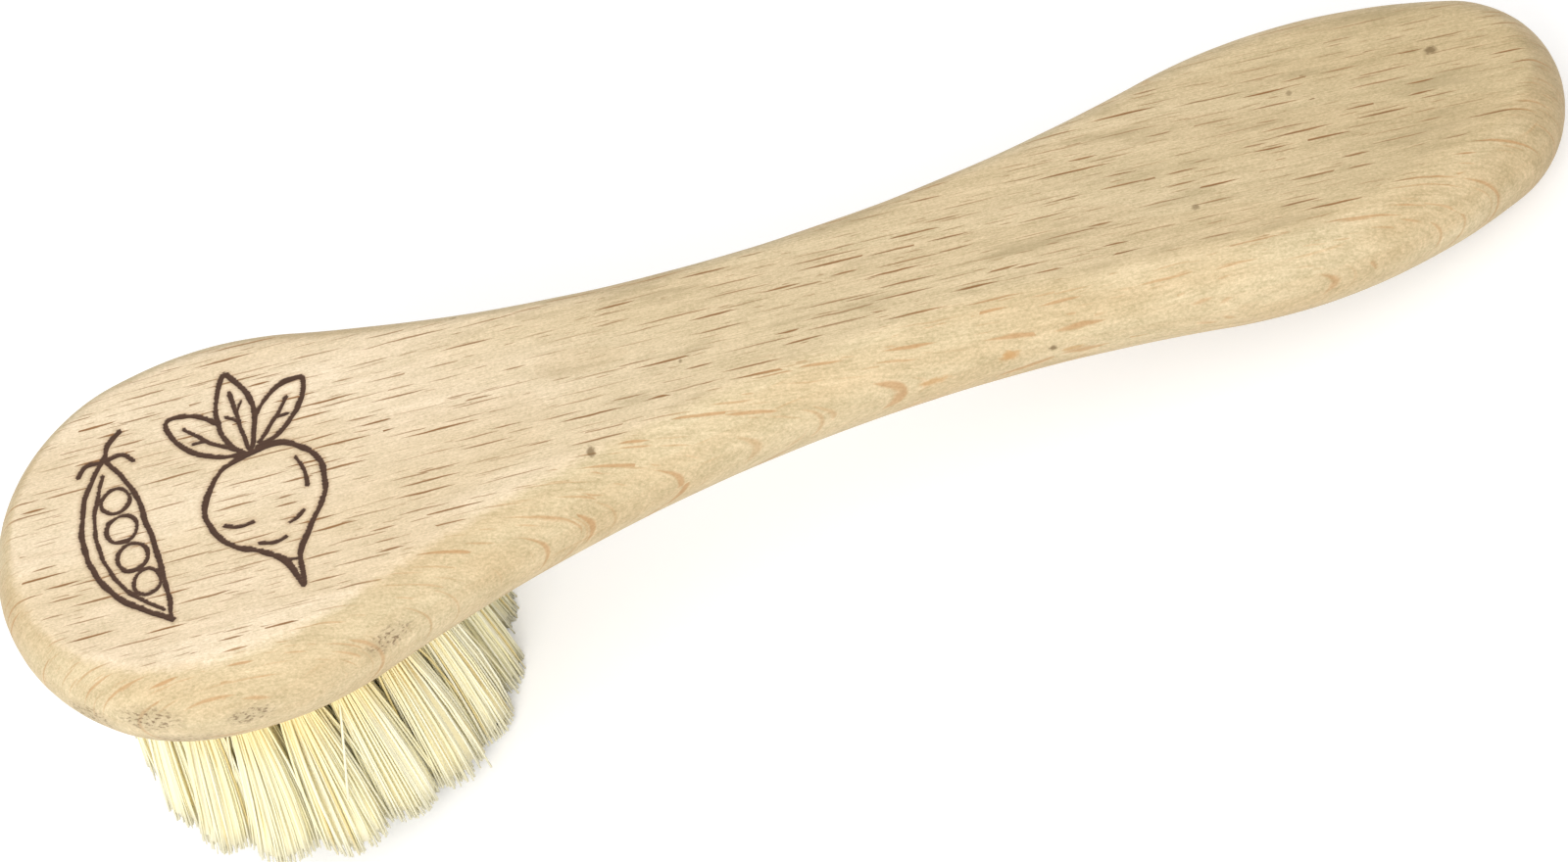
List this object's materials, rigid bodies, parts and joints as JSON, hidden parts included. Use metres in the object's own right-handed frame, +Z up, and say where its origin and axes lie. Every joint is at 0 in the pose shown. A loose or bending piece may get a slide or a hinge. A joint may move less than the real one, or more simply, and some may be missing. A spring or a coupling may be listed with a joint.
{
  "type": "vegetable brush",
  "caption": "Wooden vegetable brush with a round head, a waisted flat handle and splayed tufts of pale plant fibre set in drilled holes.",
  "frame": {"origin": "on the surface that the brush rests on, under the centre of its box", "axes": "+X along the brush from the bristle head to the tail, +Z up; the brush rests on its bristle tips and on its tail's lower edge, so its flat top face slopes down by 11.2 degrees towards +X"},
  "size_m": [0.1398, 0.0362, 0.0383],
  "materials": {
    "beech": "bare, finely sanded, with short dark ray flecks along the grain",
    "plant_fibre": "pale cream stiff fibre, slightly glossy, golden in the depth of the tufts",
    "anchor_wire": "plain drawn flat wire"
  },
  "bodies": {
    "root": {"handle": "beech", "tuft_anchors": "anchor_wire", "tuft_middle": "plant_fibre", "tuft_inner_1": "plant_fibre", "tuft_inner_2": "plant_fibre", "tuft_inner_3": "plant_fibre", "tuft_inner_4": "plant_fibre", "tuft_inner_5": "plant_fibre", "tuft_inner_6": "plant_fibre", "tuft_second_1": "plant_fibre", "tuft_second_2": "plant_fibre", "tuft_second_3": "plant_fibre", "tuft_second_4": "plant_fibre", "tuft_second_5": "plant_fibre", "tuft_second_6": "plant_fibre", "tuft_second_7": "plant_fibre", "tuft_second_8": "plant_fibre", "tuft_second_9": "plant_fibre", "tuft_second_10": "plant_fibre", "tuft_second_11": "plant_fibre", "tuft_second_12": "plant_fibre", "tuft_outer_1": "plant_fibre", "tuft_outer_2": "plant_fibre", "tuft_outer_3": "plant_fibre", "tuft_outer_4": "plant_fibre", "tuft_outer_5": "plant_fibre", "tuft_outer_6": "plant_fibre", "tuft_outer_7": "plant_fibre", "tuft_outer_8": "plant_fibre", "tuft_outer_9": "plant_fibre", "tuft_outer_10": "plant_fibre", "tuft_outer_11": "plant_fibre", "tuft_outer_12": "plant_fibre", "tuft_outer_13": "plant_fibre", "tuft_outer_14": "plant_fibre", "tuft_outer_15": "plant_fibre", "tuft_outer_16": "plant_fibre", "tuft_outer_17": "plant_fibre", "tuft_outer_18": "plant_fibre"}
  },
  "joints": []
}
